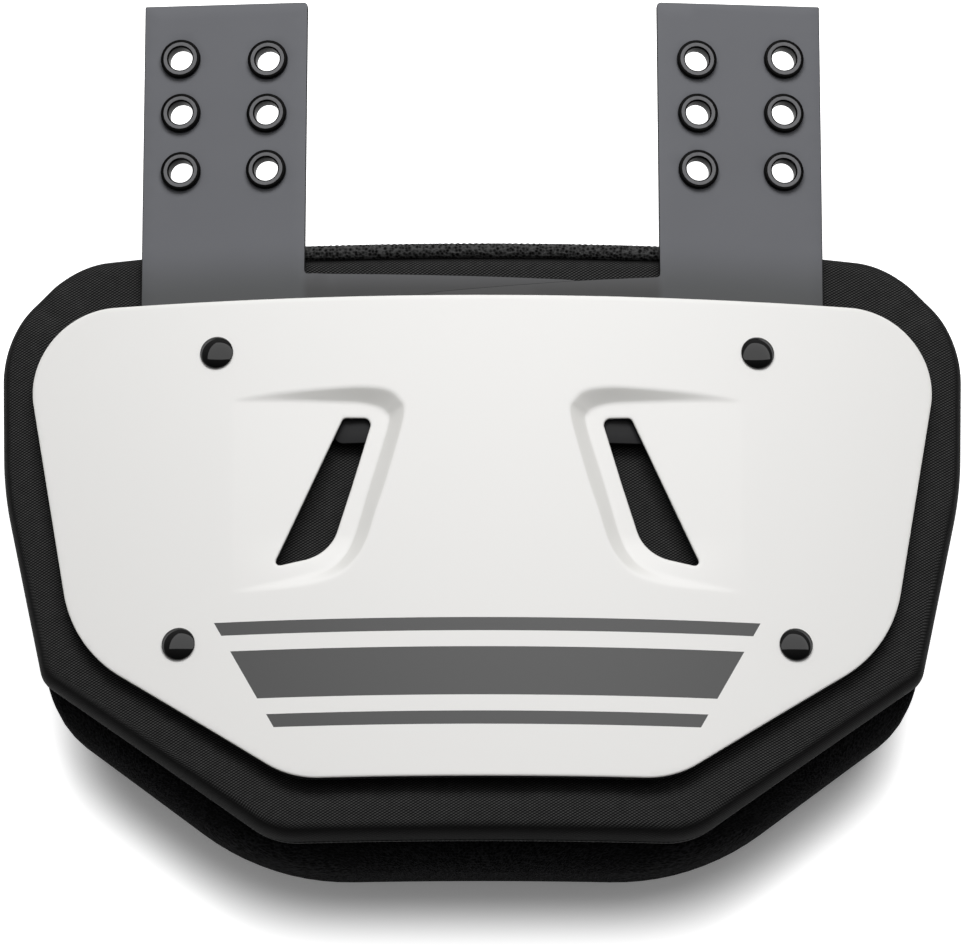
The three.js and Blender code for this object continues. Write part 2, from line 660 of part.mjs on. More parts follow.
// A cord of small section swept along the seam, all the way round.
function buildPiping() {
  const outline = wholeOutline(frontShape, padTopSplit), normals = outwardNormals(outline);
  const sides = 4, level = seamLevel - gap / 2;
  const vertices = [], triangles = [];
  outline.forEach(([x, y], i) => {
    for (let k = 0; k < sides; k++) {
      const angle = (2 * Math.PI * k) / sides;
      const out = pipingRadius * Math.cos(angle);
      vertices.push(bend([
        x + normals[i][0] * out, y + normals[i][1] * out, level + pipingRadius * Math.sin(angle),
      ]));
    }
  });
  const count = outline.length;
  for (let i = 0; i < count; i++) {
    for (let k = 0; k < sides; k++) {
      const a = i * sides + k, b = i * sides + ((k + 1) % sides);
      const c = ((i + 1) % count) * sides + k, d = ((i + 1) % count) * sides + ((k + 1) % sides);
      triangles.push([a, b, d], [a, d, c]);
    }
  }
  return facingOut(solidFrom(vertices, triangles));
}

// The knitted roll on the top edge, between the tabs, against the front cushion's side. Its
// underside is drawn down to the seam.
function buildTopRoll() {
  const rollReach = tabInner + rollTuck, rollLevel = (seamLevel + topCrest) / 2;
  const rollY = frontShape[0].y + rollRadius + gap;
  const sides = 8, stations = [-1, -0.955, -0.72, -0.48, -0.24, 0, 0.24, 0.48, 0.72, 0.955, 1];
  const rings = stations.map((station) => {
    const radius = rollRadius * (Math.abs(station) === 1 ? 0.55 : 1), ring = [];
    for (let k = 0; k < sides; k++) {
      const angle = (2 * Math.PI * (k + 0.5)) / sides;
      const down = Math.sin(angle) < -0.9 ? rollTail : 1;
      ring.push([
        station * rollReach, rollY + radius * Math.cos(angle),
        rollLevel + down * radius * Math.sin(angle),
      ]);
    }
    return ring;
  });
  return ringLoft(rings, [-rollReach, rollY, rollLevel], [rollReach, rollY, rollLevel]);
}

// Assembly

const group = new THREE.Group();
group.name = "football_back_plate";

function addPiece(name, geometry, look) {
  const clean = geometry.index ? geometry.toNonIndexed() : geometry.clone();
  clean.deleteAttribute("normal");
  clean.computeVertexNormals();
  const mesh = new THREE.Mesh(clean, new THREE.MeshStandardMaterial(look));
  mesh.name = name;
  mesh.material.name = name;
  group.add(mesh);
}

addPiece("shell_plate", buildPlate(), finish.plate);
addPiece("left_strap", buildStrap(-1), finish.strap);
addPiece("right_strap", buildStrap(1), finish.strap);
addPiece("front_cushion", buildFrontCushion(), finish.woven);
addPiece("back_cushion", buildBackCushion(), finish.mesh);
addPiece("seam_piping", buildPiping(), finish.piping);
addPiece("top_mesh_roll", buildTopRoll(), finish.mesh);

for (const [sideName, side] of [["left", -1], ["right", 1]]) {
  for (const spot of grommetPlaces) {
    addPiece(`grommet_${sideName}_${spot.name}`, placeOnTab(buildGrommet(), side, spot), finish.grommet);
  }
  for (const spot of rivetPlaces) {
    const x = -side * spot.x + detailShift;
    addPiece(`rivet_${sideName}_${spot.name}`, placeOnArch(buildRivet(), x, spot.y, 0), finish.rivet);
  }
}

// Stand the part on z = 0 with its box centred.
const box = new THREE.Box3().setFromObject(group);
const shift = new THREE.Vector3(
  -(box.min.x + box.max.x) / 2, -(box.min.y + box.max.y) / 2, -box.min.z,
);
group.children.forEach((mesh) => mesh.geometry.translate(shift.x, shift.y, shift.z));

export default group;
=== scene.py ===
# %% [markdown]
# # A padded football back plate
# The solids from the CAD step give every size and place here. This scene loads them as a frame,
# then builds a finer visible piece over each one: the white moulded plate with its vents, the two
# flexible straps with their eyelets, and the two cushions in woven and knitted cloth.

# %% Load the frame
import math
from collections import namedtuple

import bmesh
import bpy
import numpy as np
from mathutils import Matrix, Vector
from mathutils.geometry import delaunay_2d_cdt


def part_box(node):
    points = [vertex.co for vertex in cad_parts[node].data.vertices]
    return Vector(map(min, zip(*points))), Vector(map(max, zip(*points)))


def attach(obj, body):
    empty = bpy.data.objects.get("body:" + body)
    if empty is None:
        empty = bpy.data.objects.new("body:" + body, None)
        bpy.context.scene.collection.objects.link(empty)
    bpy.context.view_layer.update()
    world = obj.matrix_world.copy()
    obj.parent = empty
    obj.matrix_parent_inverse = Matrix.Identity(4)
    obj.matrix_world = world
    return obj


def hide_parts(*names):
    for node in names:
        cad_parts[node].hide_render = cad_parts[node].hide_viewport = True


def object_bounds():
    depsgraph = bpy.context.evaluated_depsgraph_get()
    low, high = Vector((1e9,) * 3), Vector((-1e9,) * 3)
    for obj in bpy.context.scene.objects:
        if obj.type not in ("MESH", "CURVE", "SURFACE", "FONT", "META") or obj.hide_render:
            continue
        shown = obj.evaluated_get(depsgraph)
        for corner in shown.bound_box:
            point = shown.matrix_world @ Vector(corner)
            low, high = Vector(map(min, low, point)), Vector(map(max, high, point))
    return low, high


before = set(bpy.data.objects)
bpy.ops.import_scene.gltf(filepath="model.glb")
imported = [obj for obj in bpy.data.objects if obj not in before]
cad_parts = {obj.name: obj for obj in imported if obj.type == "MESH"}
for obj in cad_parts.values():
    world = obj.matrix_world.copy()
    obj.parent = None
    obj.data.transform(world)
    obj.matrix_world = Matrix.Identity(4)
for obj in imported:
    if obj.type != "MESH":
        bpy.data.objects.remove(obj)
size_at_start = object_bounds()
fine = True
print("nodes in the frame:", len(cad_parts))

# %% [markdown]
# ## Sizes
# Shapes are laid out flat in millimetres as (x, y, h): x runs across the pad, y toward the strap
# tabs, and h is the height above the plate's face. One bend then wraps them round the arch.

# %% Sizes in millimetres
ARCH = 600.0
PLATE_THICK, SCOOP_DEPTH, SCOOP_WALL = 3.0, 3.2, 1.4
STRAP_THICK, STRAP_TOP, STRAP_DROP = 2.0, -5.0, 2.3
TAB_FOOT, TAB_SLOPE, CROSSING = 64.0, 0.07, 48.0
TAB_IN, TAB_OUT = 56.4, 114.1
DETAIL_SHIFT = 1.6
SEAM, PAD_BACK = -15.0, -43.0
CREST_SIDE, CREST_TOP = -5.0, -8.0
DISH_MIDDLE, DISH_SIDE = -9.8, -8.0
CENTRE_Y = -18.0

Corner = namedtuple("Corner", "x y r")
PLATE = [Corner(151.6, 61.9, 27), Corner(131.4, -53.0, 44), Corner(60.5, -99.7, 31)]
FRONT = [Corner(62.0, 79.4, 12), Corner(110.1, 82.6, 30), Corner(135.2, 81.8, 29),
         Corner(160.2, 58.3, 40), Corner(158.6, 4.6, 120), Corner(144.2, -60.4, 8),
         Corner(67.5, -117.0, 26)]
BACK = [Corner(62.0, 80.1, 12), Corner(110.1, 83.0, 30), Corner(135.5, 82.2, 29),
        Corner(160.5, 58.6, 40), Corner(160.5, 4.5, 120), Corner(141.8, -71.1, 21),
        Corner(71.8, -124.0, 85)]
LEFT_STRAP = [Corner(-110.4, 165.6, 0.5), Corner(-56.7, 164.1, 1.5), Corner(-57.8, 71.9, 1),
              Corner(-50.0, 72.5, 3), Corner(-13.8, 71.3, 20), Corner(29.3, 70.0, 20),
              Corner(CROSSING, 66.0, 3), Corner(CROSSING, 14.9, 3), Corner(-112.6, 14.9, 6)]
RIGHT_STRAP = [Corner(110.4, 165.6, 0.5), Corner(112.6, 13.3, 6), Corner(-CROSSING, 13.3, 3),
               Corner(-CROSSING, 60.0, 3), Corner(-13.7, 65.0, 20), Corner(29.2, 68.7, 20),
               Corner(57.8, 70.8, 1), Corner(56.7, 164.1, 1.5)]
SLOT = [Corner(-46.3, 21.1, 1.5), Corner(-36.9, 21.0, 2.2), Corner(-43.3, -1.5, 60),
        Corner(-50.4, -25.0, 14.2), Corner(-68.4, -29.1, 1.3)]

# The left scoop: its rim on the plate's face and the foot of its wall, going round from the
# outer tip at the top to the outer tip at the bottom.
Scoop = namedtuple("Scoop", "rim_x rim_y foot_x foot_y")
SCOOP = [Scoop(-82.0, 27.7, -81.1, 27.2), Scoop(-66.5, 29.9, -66.8, 26.8),
         Scoop(-47.2, 31.2, -47.4, 26.0), Scoop(-38.2, 31.3, -40.3, 25.5),
         Scoop(-31.1, 30.1, -35.8, 24.3), Scoop(-27.3, 26.6, -33.2, 22.4),
         Scoop(-26.0, 21.0, -32.4, 19.0), Scoop(-31.6, -1.1, -38.1, 0.0),
         Scoop(-34.9, -11.1, -40.7, -10.1), Scoop(-37.9, -21.2, -43.7, -20.1),
         Scoop(-41.4, -27.8, -46.4, -25.5), Scoop(-47.1, -33.0, -51.8, -30.0),
         Scoop(-59.5, -36.4, -63.0, -33.0), Scoop(-82.0, -37.7, -80.4, -36.6)]

# %% [markdown]
# ## The bend
# The plate's box in the frame tells where the flat layout's zero lies: its top is at h = 0 in the
# middle of the arch, and its upper edge is at the y of the plate's top corner.

# %% From flat millimetres to the frame
plate_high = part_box("shell_plate")[1]
SHIFT = np.array([0.0, plate_high.y * 1000 - PLATE[0].y + 0.1, plate_high.z * 1000])


def bend(flat):
    flat = np.asarray(flat, float)
    angle, reach = flat[:, 0] / ARCH, ARCH + flat[:, 2]
    round_arch = np.stack([reach * np.sin(angle), flat[:, 1], reach * np.cos(angle) - ARCH], 1)
    return (round_arch + SHIFT) * 0.001


def smooth(a, b, v):
    t = np.clip((np.asarray(v, float) - a) / (b - a), 0, 1)
    return t * t * (3 - 2 * t)


print("zero of the flat layout, mm:", SHIFT.round(2))

# %% [markdown]
# ## Outlines
# A table of corners becomes a smooth closed outline. The numbers of points can be taken from
# another outline with the same corners, so that the front and back cushion blend into each other.

# %% Rounded outlines
def rounded(corners, spacing, counts=None):
    """Points round a polygon with rounded corners, and how many each corner and straight took."""
    p = np.array([(c.x, c.y) for c in corners], float)
    arcs = []
    for i, corner in enumerate(corners):
        back, ahead = p[i - 1] - p[i], p[(i + 1) % len(p)] - p[i]
        limit = 0.48 * min(np.linalg.norm(back), np.linalg.norm(ahead))
        back, ahead = back / np.linalg.norm(back), ahead / np.linalg.norm(ahead)
        half = math.acos(float(np.clip(back @ ahead, -1, 1))) / 2
        reach = min(corner.r / math.tan(half), limit)
        radius = reach * math.tan(half)
        way = (back + ahead) / np.linalg.norm(back + ahead)
        centre = p[i] + way * radius / math.sin(half)
        a, b = p[i] + back * reach - centre, p[i] + ahead * reach - centre
        start = math.atan2(a[1], a[0])
        turn = (math.atan2(b[1], b[0]) - start + math.pi) % (2 * math.pi) - math.pi
        arcs.append((centre, radius, start, turn))
    ends = [[c + r * np.array([math.cos(t), math.sin(t)]) for t in (s, s + w)] for c, r, s, w in arcs]
    if counts is None:
        counts = []
        for i, (centre, radius, start, turn) in enumerate(arcs):
            gap = np.linalg.norm(ends[(i + 1) % len(arcs)][0] - ends[i][1])
            counts.append((max(3, round(abs(turn) * radius / spacing)), max(1, round(gap / spacing))))
    points = []
    for i, (centre, radius, start, turn) in enumerate(arcs):
        for t in np.linspace(start, start + turn, counts[i][0] + 1):
            points.append(centre + radius * np.array([math.cos(t), math.sin(t)]))
        for k in range(1, counts[i][1]):
            points.append(ends[i][1] + (ends[(i + 1) % len(arcs)][0] - ends[i][1]) * k / counts[i][1])
    return np.array(points), counts


def whole(right_half):
    """Adds the left half to the right half of a table of corners."""
    return right_half + [Corner(-c.x, c.y, c.r) for c in reversed(right_half)]


def ways_out(loop):
    """The outward direction at each point of a closed outline."""
    along = np.roll(loop, -1, 0) - np.roll(loop, 1, 0)
    along /= np.linalg.norm(along, axis=1)[:, None]
    x, y = loop.T
    side = np.sign(np.sum(x * np.roll(y, -1) - np.roll(x, -1) * y))
    return side * np.stack([along[:, 1], -along[:, 0]], 1)


def inset(loop, distance):
    return loop - ways_out(loop) * distance


def near(points, line, closed=True):
    """Distance from each point to a polyline."""
    starts = line if closed else line[:-1]
    stops = np.roll(line, -1, 0) if closed else line[1:]
    best = np.full(len(points), 1e9)
    for a, b in zip(starts, stops):
        ab = b - a
        t = np.clip(((points - a) @ ab) / max(ab @ ab, 1e-12), 0, 1)
        best = np.minimum(best, np.linalg.norm(points - a - t[:, None] * ab, axis=1))
    return best


def inside(points, loop):
    """Which points lie inside a closed outline."""
    found = np.zeros(len(points), bool)
    for a, b in zip(loop, np.roll(loop, -1, 0)):
        crosses = (a[1] > points[:, 1]) != (b[1] > points[:, 1])
        with np.errstate(divide="ignore", invalid="ignore"):
            at = a[0] + (points[:, 1] - a[1]) * (b[0] - a[0]) / (b[1] - a[1])
        found ^= crosses & (points[:, 0] < at)
    return found


# %% [markdown]
# ## Meshes
# Every piece is made of points and faces worked out above and carries its flat layout with it as
# an attribute called cloth, in millimetres. The materials read that attribute, so a weave or a
# printed stripe keeps its real size wherever the surface bends.

# %% Mesh builders
def make(name, points, faces, cloth, soft_edge=True):
    mesh = bpy.data.meshes.new(name)
    mesh.from_pydata([tuple(p) for p in points], [], [tuple(int(i) for i in f) for f in faces])
    mesh.validate()
    flat = mesh.attributes.new("cloth", "FLOAT_VECTOR", "POINT")
    flat.data.foreach_set("vector", np.asarray(cloth, np.float32).ravel())
    mesh.polygons.foreach_set("use_smooth", [soft_edge] * len(mesh.polygons))
    piece = bpy.data.objects.new(name, mesh)
    bpy.context.scene.collection.objects.link(piece)
    return piece


def face_out(piece):
    """Turns all faces outward."""
    bm = bmesh.new()
    bm.from_mesh(piece.data)
    bmesh.ops.recalc_face_normals(bm, faces=bm.faces)
    bm.to_mesh(piece.data)
    bm.free()
    return piece


def loft(name, rings, cloth, lift=None):
    """Skins rings of flat points, closes both ends and bends the result."""
    count = len(rings[0])
    ends = [rings[0].mean(0)[None], rings[-1].mean(0)[None]]
    points = np.vstack(rings + ends)
    layout = np.vstack(cloth + [cloth[0].mean(0)[None], cloth[-1].mean(0)[None]])
    if lift is not None:
        points = lift(points)
    i = np.arange(count)
    j = (i + 1) % count
    faces = []
    for r in range(len(rings) - 1):
        a, b = r * count, (r + 1) * count
        faces += np.stack([a + i, a + j, b + j, b + i], 1).tolist()
    first, last, top = len(points) - 2, len(points) - 1, (len(rings) - 1) * count
    faces += np.stack([i * 0 + first, j, i], 1).tolist()
    faces += np.stack([i * 0 + last, top + i, top + j], 1).tolist()
    return face_out(make(name, bend(points), faces, layout))


def tiled(outline, holes, step, roll, extra=None):
    """Fills a flat outline with triangles: rows of points follow each edge for its rounding."""
    points, depth, edges = [], [], []
    last = 0.0
    for loop, way in [(outline, 1)] + [(hole, -1) for hole in holes]:
        for distance in roll:
            ring = inset(loop, way * distance)
            first = len(points)
            points += ring.tolist()
            depth += [distance] * len(ring)
            edges += [(first + k, first + (k + 1) % len(ring)) for k in range(len(ring))]
            last = max(last, distance)
    low, high = outline.min(0), outline.max(0)
    rows = np.arange(low[1], high[1], step * 0.866)
    grid = np.array([(x + (k % 2) * step / 2, y) for k, y in enumerate(rows)
                     for x in np.arange(low[0], high[0], step)])
    if extra is not None:
        grid = grid[~extra(grid)]
        rows = np.arange(low[1], high[1], step * 0.433)
        finer = np.array([(x + (k % 2) * step / 4, y) for k, y in enumerate(rows)
                          for x in np.arange(low[0], high[0], step / 2)])
        grid = np.vstack([grid, finer[extra(finer)]])
    keep = inside(grid, outline)
    for hole in holes:
        keep &= ~inside(grid, hole)
    grid = grid[keep]
    for loop in [outline] + holes:
        grid = grid[near(grid, loop) > last + step * 0.45]
    points += grid.tolist()
    depth += [last + 9.0] * len(grid)
    found = delaunay_2d_cdt([Vector(p) for p in points], edges, [], 0, 1e-6)
    flat = np.array([tuple(v) for v in found[0]])
    kept = np.array([depth[origin[0]] if origin else last for origin in found[3]])
    triangles = np.array(found[2])
    middle = flat[triangles].mean(1)
    good = inside(middle, outline)
    for hole in holes:
        good &= ~inside(middle, hole)
    return flat, kept, triangles[good]


def plate_like(name, flat, depth, triangles, top, thick, radius, place=bend):
    """Gives a tiled outline a front, a back and rounded edges, and puts it in the frame."""
    drop = radius - np.sqrt(np.maximum(0, radius**2 - (radius - np.minimum(depth, radius))**2))
    upper, body = top(flat), thick(flat)
    front = np.column_stack([flat, upper - drop])
    rear = np.column_stack([flat, upper - body + drop])
    count = len(flat)
    seen = {}
    for a, b, c in triangles.tolist():
        for edge in ((a, b), (b, c), (c, a)):
            key = tuple(sorted(edge))
            seen[key] = None if key in seen else edge
    rim = [edge for edge in seen.values() if edge]
    faces = triangles.tolist() + (triangles[:, ::-1] + count).tolist()
    faces += [(b, a, a + count, b + count) for a, b in rim]
    layout = np.vstack([front, rear])
    return face_out(make(name, place(layout), faces, layout))


# %% [markdown]
# ## Materials
# Each surface gets a material of its own, built from a few nodes. One function adds a node, sets
# its values and links it, and another turns a screen colour into the linear one that shading needs.

# %% Node helpers
def linear(code):
    """A colour such as e4e3e0, as seen on a screen, in linear light."""
    parts = [int(code[i:i + 2], 16) / 255 for i in (0, 2, 4)]
    return tuple(c / 12.92 if c <= 0.04045 else ((c + 0.055) / 1.055) ** 2.4 for c in parts) + (1.0,)


def node(tree, kind, settings=None, **inputs):
    """Adds a node. Settings are its own properties; inputs are socket values or other sockets."""
    made = tree.nodes.new(kind)
    for key, value in (settings or {}).items():
        setattr(made, key, value)
    for key, value in inputs.items():
        name = key.replace("_", " ")
        socket = made.inputs[int(key[1:])] if key[1:].isdigit() else made.inputs[name]
        if isinstance(value, bpy.types.NodeSocket):
            tree.links.new(value, socket)
        else:
            socket.default_value = value
    return made


def maths(tree, what, a, b=0.0, c=0.0):
    return node(tree, "ShaderNodeMath", {"operation": what}, i0=a, i1=b, i2=c).outputs[0]


def start(name, **values):
    """A new material with one shader, and its flat layout split into u, v and level."""
    made = bpy.data.materials.new(name)
    made.use_nodes = True
    tree = made.node_tree
    shader = tree.nodes["Principled BSDF"]
    for key, value in values.items():
        shader.inputs[key.replace("_", " ")].default_value = value
    layout = node(tree, "ShaderNodeAttribute", {"attribute_name": "cloth"})
    parts = node(tree, "ShaderNodeSeparateXYZ", Vector=layout.outputs["Vector"])
    return made, tree, shader, layout.outputs["Vector"], parts.outputs


def bump(tree, shader, height, strength, distance):
    made = node(tree, "ShaderNodeBump", Height=height, Strength=strength, Distance=distance)
    tree.links.new(made.outputs["Normal"], shader.inputs["Normal"])


def blend(tree, share, a, b):
    made = node(tree, "ShaderNodeMix", {"data_type": "RGBA"})
    for socket, value in ((made.inputs[0], share), (made.inputs[6], a), (made.inputs[7], b)):
        if isinstance(value, bpy.types.NodeSocket):
            tree.links.new(value, socket)
        else:
            socket.default_value = value
    return made.outputs[2]


# %% [markdown]
# Cut edges, folds and steep walls catch less light than the faces beside them. One
# function tells them apart by how far the surface leans, and the materials darken them with it as
# painted shade.

# %% Faces and edges
def eased_step(tree, value, low, high):
    """From 0 where the value is at low to 1 where it is at high, eased at both ends."""
    return node(tree, "ShaderNodeMapRange", {"interpolation_type": "SMOOTHSTEP"},
                Value=value, i1=low, i2=high, i3=0.0, i4=1.0).outputs[0]


def upright(tree, low, high):
    """0 where the surface stands on edge, 1 where it lies flat; the materials paint shade on cut and
    rolled edges with it.
    """
    normal = node(tree, "ShaderNodeNewGeometry").outputs["Normal"]
    facing = node(tree, "ShaderNodeSeparateXYZ", Vector=normal)
    lying = maths(tree, "ABSOLUTE", facing.outputs["Z"])
    return eased_step(tree, lying, low, high)


# %% [markdown]
# The plate is white polyethylene with a very fine skin. A plain football sleeve stripe, thin,
# thick and thin, is printed on its lower part in dark gray.

# %% White moulded polyethylene
Stripe = namedtuple("Stripe", "middle half_width")
STRIPES = [Stripe(-49.5, 2.2), Stripe(-65.0, 8.0), Stripe(-80.5, 2.2)]


def white_polyethylene():
    made, tree, shader, layout, (u, v, level) = start(
        "white_polyethylene", Roughness=0.42, Specular_IOR_Level=0.4)
    grain = node(tree, "ShaderNodeTexNoise", Vector=layout, Scale=2.2, Detail=2.0)
    bump(tree, shader, grain.outputs["Fac"], 0.12, 0.00006)
    ink = 0.0
    for stripe in STRIPES:
        away = maths(tree, "ABSOLUTE", maths(tree, "SUBTRACT", v, stripe.middle))
        band = maths(tree, "LESS_THAN", away, stripe.half_width)
        ink = band if ink == 0.0 else maths(tree, "ADD", ink, band)
    side = maths(tree, "ABSOLUTE", maths(tree, "SUBTRACT", u, DETAIL_SHIFT))
    reach = maths(tree, "MULTIPLY_ADD", v, 0.55, 113.0)
    ink = maths(tree, "MULTIPLY", ink, maths(tree, "LESS_THAN", side, reach))
    ink = maths(tree, "MULTIPLY", ink, maths(tree, "GREATER_THAN", level, -1.0))
    # Painted shade: the scoops' steep walls are coloured a darker white than the face.
    steep = upright(tree, 0.90, 0.965)
    white = blend(tree, steep, linear("d7d6d3"), linear("e2e1df"))
    # Painted shade: the plate's edge walls, which stand on edge, are coloured near black.
    cut = blend(tree, upright(tree, 0.15, 0.55), linear("141414"), white)
    colour = blend(tree, ink, cut, linear("434343"))
    tree.links.new(colour, shader.inputs["Base Color"])
    return made


# %% Gray flexible vinyl and black lacquer
FACE_LEVEL = 2.3              # height in an eyelet's own millimetres above which its face carries the painted reflection
REFLECTION_INNER, REFLECTION_OUTER = 4.4, 5.5   # inner and outer radius of the painted reflection ring


def gray_vinyl():
    made, tree, shader, layout, parts = start(
        "gray_vinyl", Roughness=0.6, Specular_IOR_Level=0.15)
    shade = node(tree, "ShaderNodeTexNoise", Vector=layout, Scale=0.05, Detail=3.0)
    share = maths(tree, "MULTIPLY", shade.outputs["Fac"], 0.5)
    tab = blend(tree, share, linear("67686c"), linear("5f6064"))
    # Painted shade: the base is darker where it passes behind the plate's edge, darker still between
    # the tabs, and near black deep under the plate, where the slots show it.
    under_plate_shade = eased_step(tree, parts[1], PLATE[0].y + 22, PLATE[0].y + 2)
    deep = eased_step(tree, parts[1], PLATE[0].y - 5, PLATE[0].y - 35)
    between = eased_step(tree, maths(tree, "ABSOLUTE", parts[0]), TAB_IN + 3, TAB_IN)
    painted_base_shade = blend(tree, between, linear("525354"), linear("464646"))
    base = blend(tree, deep, blend(tree, under_plate_shade, tab, painted_base_shade), linear("222223"))
    # Painted shade: surfaces that stand on edge are coloured near black.
    edge = blend(tree, upright(tree, 0.80, 0.96), linear("060606"), base)
    tree.links.new(edge, shader.inputs["Base Color"])
    grain = node(tree, "ShaderNodeTexNoise", Vector=layout, Scale=3.0, Detail=2.0)
    bump(tree, shader, grain.outputs["Fac"], 0.15, 0.00005)
    return made


def eyelet_lacquer():
    """Black lacquer; the flat face carries a painted reflection, a gray ring in the base colour."""
    made, tree, shader, layout, (u, v, level) = start(
        "black_lacquered_steel", Roughness=0.4, Specular_IOR_Level=0.04)
    radius = maths(tree, "SQRT", maths(tree, "ADD", maths(tree, "MULTIPLY", u, u),
                                       maths(tree, "MULTIPLY", v, v)))
    # Painted reflection: a gray ring on the flat face stands in for the lamp's reflection in the black
    # lacquer.
    painted_reflection = maths(tree, "GREATER_THAN", level, FACE_LEVEL)
    painted_reflection = maths(tree, "MULTIPLY", painted_reflection, maths(tree, "GREATER_THAN", radius, REFLECTION_INNER))
    painted_reflection = maths(tree, "MULTIPLY", painted_reflection, maths(tree, "LESS_THAN", radius, REFLECTION_OUTER))
    spots = node(tree, "ShaderNodeTexNoise", Vector=layout, Scale=0.8, Detail=3.0)
    gray = blend(tree, spots.outputs["Fac"], linear("606062"), linear("707072"))
    tree.links.new(blend(tree, painted_reflection, linear("020202"), gray), shader.inputs["Base Color"])
    return made


def black_gloss():
    made, tree, shader, layout, parts = start(
        "black_enamel", Roughness=0.06, Specular_IOR_Level=0.35)
    wear = node(tree, "ShaderNodeTexNoise", Vector=layout, Scale=0.5, Detail=2.0)
    share = maths(tree, "MULTIPLY", wear.outputs["Fac"], 0.4)
    tree.links.new(blend(tree, share, linear("040404"), linear("090909")), shader.inputs["Base Color"])
    return made


# %% [markdown]
# The front cover is a diamond weave: two sets of diagonal ribs, 0.7 mm apart on the real cloth.
# That is too fine for one pixel of this view to hold, so the ribs are drawn 0.8 mm apart. The sides
# and the back are a black spacer mesh whose knitted cells are about 1.4 mm apart.

# %% Woven nylon
RIB_SPACING, RIB_ANGLE = 0.80, math.radians(32)


def woven_nylon():
    made, tree, shader, layout, (u, v, level) = start(
        "woven_nylon", Roughness=0.75, Specular_IOR_Level=0.1)
    across, along = math.sin(RIB_ANGLE), math.cos(RIB_ANGLE)
    pitch = 2 * math.pi / RIB_SPACING

    def ribs(lean):
        """Waves square to one set of ribs, which rise to the right when lean is 1."""
        sideways = maths(tree, "MULTIPLY", u, -lean * across * pitch)
        return maths(tree, "SINE", maths(tree, "MULTIPLY_ADD", v, along * pitch, sideways))

    weave = maths(tree, "MULTIPLY_ADD", ribs(-1), 0.38, maths(tree, "MULTIPLY", ribs(1), 0.62))
    uneven = node(tree, "ShaderNodeTexNoise", Vector=layout, Scale=0.35, Detail=3.0)
    bump(tree, shader, weave, 0.5, 0.00010)
    share = maths(tree, "MULTIPLY_ADD", weave, 0.5, 0.5)
    share = maths(tree, "MULTIPLY", maths(tree, "POWER", share, 2.2),
                  maths(tree, "MULTIPLY_ADD", uneven.outputs["Fac"], 0.7, 0.65))
    face = blend(tree, share, linear("000000"), linear("474747"))
    # Painted shade: the rolled edges, where the cloth turns away from lying flat, are coloured near
    # black.
    colour = blend(tree, upright(tree, 0.7, 0.995), linear("030303"), face)
    tree.links.new(colour, shader.inputs["Base Color"])
    return made


# %% Knitted spacer mesh
def spacer_mesh(name, pitch, dark, light):
    made, tree, shader, layout, (u, v, level) = start(
        name, Roughness=0.9, Specular_IOR_Level=0.02)
    cells = node(tree, "ShaderNodeTexVoronoi", {"feature": "F1", "voronoi_dimensions": "3D"},
                 Vector=layout, Scale=1 / pitch, Randomness=0.7)
    loops = maths(tree, "MULTIPLY", cells.outputs["Distance"], 1.5)
    grain = node(tree, "ShaderNodeTexNoise", Vector=layout, Scale=1.6, Detail=2.0)
    height = maths(tree, "MULTIPLY_ADD", grain.outputs["Fac"], 0.5, loops)
    bump(tree, shader, height, 0.9, 0.0005)
    share = maths(tree, "MULTIPLY", maths(tree, "POWER", loops, 2.0),
                  maths(tree, "MULTIPLY_ADD", grain.outputs["Fac"], 1.6, 0.1))
    tree.links.new(blend(tree, share, linear(dark), linear(light)), shader.inputs["Base Color"])
    return made


def cord_thread():
    made, tree, shader, layout, (u, v, level) = start(
        "bound_edge_tape", Roughness=0.6, Specular_IOR_Level=0.2)
    twist = maths(tree, "SINE", maths(tree, "MULTIPLY", maths(tree, "ADD", u, level), 4.0))
    share = maths(tree, "MULTIPLY_ADD", twist, 0.4, 0.5)
    tree.links.new(blend(tree, share, linear("1c1c1c"), linear("343434")), shader.inputs["Base Color"])
    return made


looks = {
    "plate": white_polyethylene(), "strap": gray_vinyl(), "eyelet": eyelet_lacquer(),
    "rivet": black_gloss(), "woven": woven_nylon(),
    "mesh": spacer_mesh("knitted_spacer_mesh", 1.0, "000000", "151516"),
    "roll": spacer_mesh("braided_edge_mesh", 1.1, "020202", "484848"), "tape": cord_thread(),
}
print("materials:", ", ".join(m.name for m in looks.values()))


def finish_piece(piece, look, slot, *nodes):
    piece.data.materials.append(looks[look])
    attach(piece, "root")
    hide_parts(*nodes)
    print(piece.name, len(piece.data.polygons), "faces")
    return piece


# %% [markdown]
# ## The plate
# Its face is flat in the layout, apart from the two scoops. A scoop's floor falls from its outer
# side to the wall beside the slot, and the wall climbs back to the face between foot and rim.

# %% Plate with vents
step = 1.5 if fine else 3.0


def eased(points, pieces=8):
    """A smooth open curve through points."""
    ends = np.vstack([2 * points[0] - points[1], points, 2 * points[-1] - points[-2]])
    t = (np.arange(pieces) / pieces)[:, None]
    parts = [0.5 * (2 * b + (c - a) * t + (2 * a - 5 * b + 4 * c - d) * t**2
                    + (3 * b - a - 3 * c + d) * t**3)
             for a, b, c, d in zip(ends, ends[1:], ends[2:], ends[3:])]
    return np.vstack(parts + [points[-1:]])


def facet(share, ease=0.22):
    """From 0 to 1 along a flat slope, with a rounded start and end."""
    t = np.clip(share, 0, 1)
    height = 1 / (2 * ease * (1 - ease))
    middle = (t - ease / 2) / (1 - ease)
    return np.where(t < ease, t**2 * height, np.where(t > 1 - ease, 1 - (1 - t)**2 * height, middle))


rim = eased(np.array([(s.rim_x, s.rim_y) for s in SCOOP]))
foot = eased(np.array([(s.foot_x, s.foot_y) for s in SCOOP]))
slot, _ = rounded(SLOT, 0.7 if fine else 1.5)


